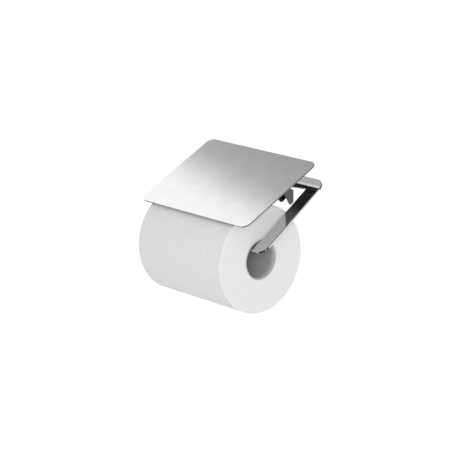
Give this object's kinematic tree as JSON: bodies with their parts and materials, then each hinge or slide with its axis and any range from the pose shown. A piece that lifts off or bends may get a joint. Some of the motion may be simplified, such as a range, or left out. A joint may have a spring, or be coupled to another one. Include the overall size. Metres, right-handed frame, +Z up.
{
  "type": "toilet paper holder",
  "caption": "Wall-mounted toilet paper holder: a flat metal strip bent round an open-ended loop carries a full roll under a hinged flat cover.",
  "frame": {"origin": "centre of the wall plate's back face, on the wall", "axes": "+Z up, the object stands out from the wall towards -Y, +X towards the arm's side (right, seen from the front)"},
  "size_m": [0.1422, 0.1214, 0.1322],
  "materials": {
    "chrome": "polished chrome plate",
    "cover_chrome": "soft satin chrome plate",
    "zinc_steel": "dull zinc plate",
    "black_steel": "black oxide",
    "nylon": "matt natural nylon",
    "cardboard": "grey wound board",
    "paper": "soft white tissue"
  },
  "bodies": {
    "wall_mount": {"wall_plate": "zinc_steel", "wall_screw_upper": "zinc_steel", "wall_screw_lower": "zinc_steel", "mount_body": "chrome", "lock_screw_left": "black_steel", "lock_screw_right": "black_steel", "holder_bar": "chrome", "bar_screw_left": "zinc_steel", "bar_screw_right": "zinc_steel", "hinge_pin": "zinc_steel", "pin_clip_left": "zinc_steel", "pin_clip_right": "zinc_steel"},
    "cover": {"cover_plate": "cover_chrome", "cover_bracket": "cover_chrome", "hinge_bush_left": "nylon", "hinge_bush_right": "nylon"},
    "roll": {"core_tube": "cardboard", "paper_roll": "paper"}
  },
  "joints": [
    {"name": "cover_hinge", "type": "hinge", "parent": "wall_mount", "child": "cover", "pos_m": [0, -0.0187, 0.0221], "axis": [-1, 0, 0], "range_deg": [0, 110]},
    {"name": "roll_spin", "type": "hinge", "parent": "wall_mount", "child": "roll", "pos_m": [-0.00215, -0.0721, -0.0508], "axis": [1, 0, 0], "continuous": true}
  ]
}
